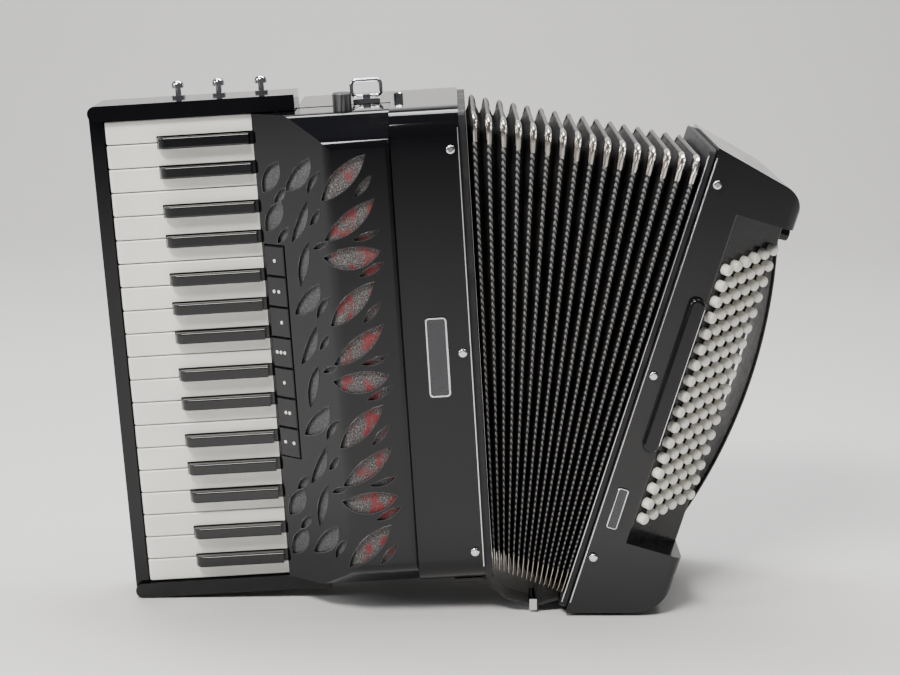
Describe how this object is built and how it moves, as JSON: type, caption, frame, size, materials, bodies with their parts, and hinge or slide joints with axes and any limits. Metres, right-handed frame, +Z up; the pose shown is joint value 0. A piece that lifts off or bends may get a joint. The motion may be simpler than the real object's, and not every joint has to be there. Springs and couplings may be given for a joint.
{
  "type": "piano accordion",
  "caption": "Piano accordion standing with its bellows fanned open, black casings, leaf-pierced grille, white and black keys and white bass buttons.",
  "frame": {"origin": "middle of the whole object's footprint, on the floor it stands on", "axes": "+Z up, +X from the keyboard side to the bass side, -Y is the front with the grille and the keys"},
  "size_m": [0.5684, 0.1896, 0.4377],
  "materials": {
    "black_celluloid": "polished black celluloid",
    "steel": "drawn steel rod",
    "mesh": "speckled cloth on fine mesh",
    "reed_wood": "bare planed wood",
    "chrome_metal": "polished chrome",
    "bellows_card": "cloth-covered card folds with bound edges",
    "black_leather": "soft black leather",
    "board_black": "gloss black plastic",
    "button_white": "polished white plastic",
    "key_white": "polished ivory-white plastic",
    "key_black": "polished black plastic"
  },
  "bodies": {
    "treble": {"treble_casing": "black_celluloid", "keyboard_bed": "black_celluloid", "axle_rods": "steel", "grille_cover": "black_celluloid", "grille_mesh": "mesh", "treble_reed_blocks": "reed_wood", "treble_fittings": "chrome_metal", "bellows": "bellows_card", "bellows_strap": "black_leather"},
    "bass": {"bass_casing": "black_celluloid", "bass_button_board": "board_black", "bass_strap": "black_leather", "bass_reed_blocks": "reed_wood", "bass_fittings": "chrome_metal"},
    "white_key_01_body": {"white_key_01": "key_white"},
    "white_key_02_body": {"white_key_02": "key_white"},
    "white_key_03_body": {"white_key_03": "key_white"},
    "white_key_04_body": {"white_key_04": "key_white"},
    "white_key_05_body": {"white_key_05": "key_white"},
    "white_key_06_body": {"white_key_06": "key_white"},
    "white_key_07_body": {"white_key_07": "key_white"},
    "white_key_08_body": {"white_key_08": "key_white"},
    "white_key_09_body": {"white_key_09": "key_white"},
    "white_key_10_body": {"white_key_10": "key_white"},
    "white_key_11_body": {"white_key_11": "key_white"},
    "white_key_12_body": {"white_key_12": "key_white"},
    "white_key_13_body": {"white_key_13": "key_white"},
    "white_key_14_body": {"white_key_14": "key_white"},
    "white_key_15_body": {"white_key_15": "key_white"},
    "white_key_16_body": {"white_key_16": "key_white"},
    "white_key_17_body": {"white_key_17": "key_white"},
    "white_key_18_body": {"white_key_18": "key_white"},
    "white_key_19_body": {"white_key_19": "key_white"},
    "white_key_20_body": {"white_key_20": "key_white"},
    "black_key_01_body": {"black_key_01": "key_black"},
    "black_key_02_body": {"black_key_02": "key_black"},
    "black_key_03_body": {"black_key_03": "key_black"},
    "black_key_04_body": {"black_key_04": "key_black"},
    "black_key_05_body": {"black_key_05": "key_black"},
    "black_key_06_body": {"black_key_06": "key_black"},
    "black_key_07_body": {"black_key_07": "key_black"},
    "black_key_08_body": {"black_key_08": "key_black"},
    "black_key_09_body": {"black_key_09": "key_black"},
    "black_key_10_body": {"black_key_10": "key_black"},
    "black_key_11_body": {"black_key_11": "key_black"},
    "black_key_12_body": {"black_key_12": "key_black"},
    "black_key_13_body": {"black_key_13": "key_black"},
    "black_key_14_body": {"black_key_14": "key_black"},
    "register_tab_1_body": {"register_tab_1": "board_black"},
    "register_tab_2_body": {"register_tab_2": "board_black"},
    "register_tab_3_body": {"register_tab_3": "board_black"},
    "register_tab_4_body": {"register_tab_4": "board_black"},
    "register_tab_5_body": {"register_tab_5": "board_black"},
    "register_tab_6_body": {"register_tab_6": "board_black"},
    "register_tab_7_body": {"register_tab_7": "board_black"},
    "chin_switch_1_body": {"chin_switch_1": "chrome_metal"},
    "chin_switch_2_body": {"chin_switch_2": "chrome_metal"},
    "chin_switch_3_body": {"chin_switch_3": "chrome_metal"},
    "bass_buttons_body": {"bass_buttons": "button_white"},
    "air_button_body": {"air_button": "board_black"}
  },
  "joints": [
    {"name": "bellows_fan", "type": "hinge", "parent": "treble", "child": "bass", "pos_m": [0.03049, -0.0073, 0.04136], "axis": [0, 1, 0], "range_deg": [-20.15, 12], "deforming": ["bellows", "bellows_strap"]},
    {"name": "white_key_01_press", "type": "hinge", "parent": "treble", "child": "white_key_01_body", "pos_m": [-0.13341, -0.0308, 0.40167], "axis": [0.061, 0, -0.9981], "range_deg": [0, 1.75], "stiffness_Nm_per_rad": 0.6, "springref_deg": -11.46},
    {"name": "white_key_02_press", "type": "hinge", "parent": "treble", "child": "white_key_02_body", "pos_m": [-0.13222, -0.0308, 0.38221], "axis": [0.061, 0, -0.9981], "range_deg": [0, 1.75], "stiffness_Nm_per_rad": 0.6, "springref_deg": -11.46},
    {"name": "white_key_03_press", "type": "hinge", "parent": "treble", "child": "white_key_03_body", "pos_m": [-0.13103, -0.0308, 0.36275], "axis": [0.061, 0, -0.9981], "range_deg": [0, 1.75], "stiffness_Nm_per_rad": 0.6, "springref_deg": -11.46},
    {"name": "white_key_04_press", "type": "hinge", "parent": "treble", "child": "white_key_04_body", "pos_m": [-0.12984, -0.0308, 0.34328], "axis": [0.061, 0, -0.9981], "range_deg": [0, 1.75], "stiffness_Nm_per_rad": 0.6, "springref_deg": -11.46},
    {"name": "white_key_05_press", "type": "hinge", "parent": "treble", "child": "white_key_05_body", "pos_m": [-0.12865, -0.0308, 0.32382], "axis": [0.061, 0, -0.9981], "range_deg": [0, 1.75], "stiffness_Nm_per_rad": 0.6, "springref_deg": -11.46},
    {"name": "white_key_06_press", "type": "hinge", "parent": "treble", "child": "white_key_06_body", "pos_m": [-0.12746, -0.0308, 0.30436], "axis": [0.061, 0, -0.9981], "range_deg": [0, 1.75], "stiffness_Nm_per_rad": 0.6, "springref_deg": -11.46},
    {"name": "white_key_07_press", "type": "hinge", "parent": "treble", "child": "white_key_07_body", "pos_m": [-0.12627, -0.0308, 0.28489], "axis": [0.061, 0, -0.9981], "range_deg": [0, 1.75], "stiffness_Nm_per_rad": 0.6, "springref_deg": -11.46},
    {"name": "white_key_08_press", "type": "hinge", "parent": "treble", "child": "white_key_08_body", "pos_m": [-0.12508, -0.0308, 0.26543], "axis": [0.061, 0, -0.9981], "range_deg": [0, 1.75], "stiffness_Nm_per_rad": 0.6, "springref_deg": -11.46},
    {"name": "white_key_09_press", "type": "hinge", "parent": "treble", "child": "white_key_09_body", "pos_m": [-0.12389, -0.0308, 0.24596], "axis": [0.061, 0, -0.9981], "range_deg": [0, 1.75], "stiffness_Nm_per_rad": 0.6, "springref_deg": -11.46},
    {"name": "white_key_10_press", "type": "hinge", "parent": "treble", "child": "white_key_10_body", "pos_m": [-0.1227, -0.0308, 0.2265], "axis": [0.061, 0, -0.9981], "range_deg": [0, 1.75], "stiffness_Nm_per_rad": 0.6, "springref_deg": -11.46},
    {"name": "white_key_11_press", "type": "hinge", "parent": "treble", "child": "white_key_11_body", "pos_m": [-0.12151, -0.0308, 0.20704], "axis": [0.061, 0, -0.9981], "range_deg": [0, 1.75], "stiffness_Nm_per_rad": 0.6, "springref_deg": -11.46},
    {"name": "white_key_12_press", "type": "hinge", "parent": "treble", "child": "white_key_12_body", "pos_m": [-0.12032, -0.0308, 0.18757], "axis": [0.061, 0, -0.9981], "range_deg": [0, 1.75], "stiffness_Nm_per_rad": 0.6, "springref_deg": -11.46},
    {"name": "white_key_13_press", "type": "hinge", "parent": "treble", "child": "white_key_13_body", "pos_m": [-0.11913, -0.0308, 0.16811], "axis": [0.061, 0, -0.9981], "range_deg": [0, 1.75], "stiffness_Nm_per_rad": 0.6, "springref_deg": -11.46},
    {"name": "white_key_14_press", "type": "hinge", "parent": "treble", "child": "white_key_14_body", "pos_m": [-0.11794, -0.0308, 0.14865], "axis": [0.061, 0, -0.9981], "range_deg": [0, 1.75], "stiffness_Nm_per_rad": 0.6, "springref_deg": -11.46},
    {"name": "white_key_15_press", "type": "hinge", "parent": "treble", "child": "white_key_15_body", "pos_m": [-0.11675, -0.0308, 0.12918], "axis": [0.061, 0, -0.9981], "range_deg": [0, 1.75], "stiffness_Nm_per_rad": 0.6, "springref_deg": -11.46},
    {"name": "white_key_16_press", "type": "hinge", "parent": "treble", "child": "white_key_16_body", "pos_m": [-0.11556, -0.0308, 0.10972], "axis": [0.061, 0, -0.9981], "range_deg": [0, 1.75], "stiffness_Nm_per_rad": 0.6, "springref_deg": -11.46},
    {"name": "white_key_17_press", "type": "hinge", "parent": "treble", "child": "white_key_17_body", "pos_m": [-0.11436, -0.0308, 0.09026], "axis": [0.061, 0, -0.9981], "range_deg": [0, 1.75], "stiffness_Nm_per_rad": 0.6, "springref_deg": -11.46},
    {"name": "white_key_18_press", "type": "hinge", "parent": "treble", "child": "white_key_18_body", "pos_m": [-0.11317, -0.0308, 0.07079], "axis": [0.061, 0, -0.9981], "range_deg": [0, 1.75], "stiffness_Nm_per_rad": 0.6, "springref_deg": -11.46},
    {"name": "white_key_19_press", "type": "hinge", "parent": "treble", "child": "white_key_19_body", "pos_m": [-0.11198, -0.0308, 0.05133], "axis": [0.061, 0, -0.9981], "range_deg": [0, 1.75], "stiffness_Nm_per_rad": 0.6, "springref_deg": -11.46},
    {"name": "white_key_20_press", "type": "hinge", "parent": "treble", "child": "white_key_20_body", "pos_m": [-0.11079, -0.0308, 0.03186], "axis": [0.061, 0, -0.9981], "range_deg": [0, 1.75], "stiffness_Nm_per_rad": 0.6, "springref_deg": -11.46},
    {"name": "black_key_01_press", "type": "hinge", "parent": "treble", "child": "black_key_01_body", "pos_m": [-0.13282, -0.0308, 0.39194], "axis": [0.061, 0, -0.9981], "range_deg": [0, 1.75], "stiffness_Nm_per_rad": 0.6, "springref_deg": -11.46},
    {"name": "black_key_02_press", "type": "hinge", "parent": "treble", "child": "black_key_02_body", "pos_m": [-0.13134, -0.0308, 0.36789], "axis": [0.061, 0, -0.9981], "range_deg": [0, 1.75], "stiffness_Nm_per_rad": 0.6, "springref_deg": -11.46},
    {"name": "black_key_03_press", "type": "hinge", "parent": "treble", "child": "black_key_03_body", "pos_m": [-0.1294, -0.0308, 0.33615], "axis": [0.061, 0, -0.9981], "range_deg": [0, 1.75], "stiffness_Nm_per_rad": 0.6, "springref_deg": -11.46},
    {"name": "black_key_04_press", "type": "hinge", "parent": "treble", "child": "black_key_04_body", "pos_m": [-0.1279, -0.0308, 0.31149], "axis": [0.061, 0, -0.9981], "range_deg": [0, 1.75], "stiffness_Nm_per_rad": 0.6, "springref_deg": -11.46},
    {"name": "black_key_05_press", "type": "hinge", "parent": "treble", "child": "black_key_05_body", "pos_m": [-0.12596, -0.0308, 0.27975], "axis": [0.061, 0, -0.9981], "range_deg": [0, 1.75], "stiffness_Nm_per_rad": 0.6, "springref_deg": -11.46},
    {"name": "black_key_06_press", "type": "hinge", "parent": "treble", "child": "black_key_06_body", "pos_m": [-0.12448, -0.0308, 0.2557], "axis": [0.061, 0, -0.9981], "range_deg": [0, 1.75], "stiffness_Nm_per_rad": 0.6, "springref_deg": -11.46},
    {"name": "black_key_07_press", "type": "hinge", "parent": "treble", "child": "black_key_07_body", "pos_m": [-0.12301, -0.0308, 0.23164], "axis": [0.061, 0, -0.9981], "range_deg": [0, 1.75], "stiffness_Nm_per_rad": 0.6, "springref_deg": -11.46},
    {"name": "black_key_08_press", "type": "hinge", "parent": "treble", "child": "black_key_08_body", "pos_m": [-0.12107, -0.0308, 0.1999], "axis": [0.061, 0, -0.9981], "range_deg": [0, 1.75], "stiffness_Nm_per_rad": 0.6, "springref_deg": -11.46},
    {"name": "black_key_09_press", "type": "hinge", "parent": "treble", "child": "black_key_09_body", "pos_m": [-0.11956, -0.0308, 0.17525], "axis": [0.061, 0, -0.9981], "range_deg": [0, 1.75], "stiffness_Nm_per_rad": 0.6, "springref_deg": -11.46},
    {"name": "black_key_10_press", "type": "hinge", "parent": "treble", "child": "black_key_10_body", "pos_m": [-0.11762, -0.0308, 0.14351], "axis": [0.061, 0, -0.9981], "range_deg": [0, 1.75], "stiffness_Nm_per_rad": 0.6, "springref_deg": -11.46},
    {"name": "black_key_11_press", "type": "hinge", "parent": "treble", "child": "black_key_11_body", "pos_m": [-0.11615, -0.0308, 0.11945], "axis": [0.061, 0, -0.9981], "range_deg": [0, 1.75], "stiffness_Nm_per_rad": 0.6, "springref_deg": -11.46},
    {"name": "black_key_12_press", "type": "hinge", "parent": "treble", "child": "black_key_12_body", "pos_m": [-0.11468, -0.0308, 0.0954], "axis": [0.061, 0, -0.9981], "range_deg": [0, 1.75], "stiffness_Nm_per_rad": 0.6, "springref_deg": -11.46},
    {"name": "black_key_13_press", "type": "hinge", "parent": "treble", "child": "black_key_13_body", "pos_m": [-0.11274, -0.0308, 0.06366], "axis": [0.061, 0, -0.9981], "range_deg": [0, 1.75], "stiffness_Nm_per_rad": 0.6, "springref_deg": -11.46},
    {"name": "black_key_14_press", "type": "hinge", "parent": "treble", "child": "black_key_14_body", "pos_m": [-0.11123, -0.0308, 0.039], "axis": [0.061, 0, -0.9981], "range_deg": [0, 1.75], "stiffness_Nm_per_rad": 0.6, "springref_deg": -11.46},
    {"name": "register_tab_1_rock", "type": "hinge", "parent": "treble", "child": "register_tab_1_body", "pos_m": [-0.13199, -0.05058, 0.29291], "axis": [-0.061, 0, 0.9981], "range_deg": [0, 5]},
    {"name": "register_tab_2_rock", "type": "hinge", "parent": "treble", "child": "register_tab_2_body", "pos_m": [-0.13044, -0.05058, 0.26755], "axis": [-0.061, 0, 0.9981], "range_deg": [0, 5]},
    {"name": "register_tab_3_rock", "type": "hinge", "parent": "treble", "child": "register_tab_3_body", "pos_m": [-0.12889, -0.05058, 0.2422], "axis": [-0.061, 0, 0.9981], "range_deg": [0, 5]},
    {"name": "register_tab_4_rock", "type": "hinge", "parent": "treble", "child": "register_tab_4_body", "pos_m": [-0.12734, -0.05058, 0.21685], "axis": [-0.061, 0, 0.9981], "range_deg": [0, 5]},
    {"name": "register_tab_5_rock", "type": "hinge", "parent": "treble", "child": "register_tab_5_body", "pos_m": [-0.12579, -0.05058, 0.1915], "axis": [-0.061, 0, 0.9981], "range_deg": [0, 5]},
    {"name": "register_tab_6_rock", "type": "hinge", "parent": "treble", "child": "register_tab_6_body", "pos_m": [-0.12423, -0.05058, 0.16614], "axis": [-0.061, 0, 0.9981], "range_deg": [0, 5]},
    {"name": "register_tab_7_rock", "type": "hinge", "parent": "treble", "child": "register_tab_7_body", "pos_m": [-0.12269, -0.05058, 0.14079], "axis": [-0.061, 0, 0.9981], "range_deg": [0, 5]},
    {"name": "chin_switch_1_press", "type": "slide", "parent": "treble", "child": "chin_switch_1_body", "axis": [0.061, 0, -0.9981], "range_m": [0, 0.005], "stiffness_N_per_m": 150, "springref_m": -0.01},
    {"name": "chin_switch_2_press", "type": "slide", "parent": "treble", "child": "chin_switch_2_body", "axis": [0.061, 0, -0.9981], "range_m": [0, 0.005], "stiffness_N_per_m": 150, "springref_m": -0.01},
    {"name": "chin_switch_3_press", "type": "slide", "parent": "treble", "child": "chin_switch_3_body", "axis": [0.061, 0, -0.9981], "range_m": [0, 0.005], "stiffness_N_per_m": 150, "springref_m": -0.01},
    {"name": "bass_buttons_press", "type": "slide", "parent": "bass", "child": "bass_buttons_body", "axis": [-0.6775, 0.7071, 0.2026], "range_m": [0, 0.0035], "stiffness_N_per_m": 400, "springref_m": -0.012},
    {"name": "air_button_press", "type": "slide", "parent": "bass", "child": "air_button_body", "axis": [-0.9581, 0, 0.2865], "range_m": [0, 0.005], "stiffness_N_per_m": 250, "springref_m": -0.012}
  ]
}
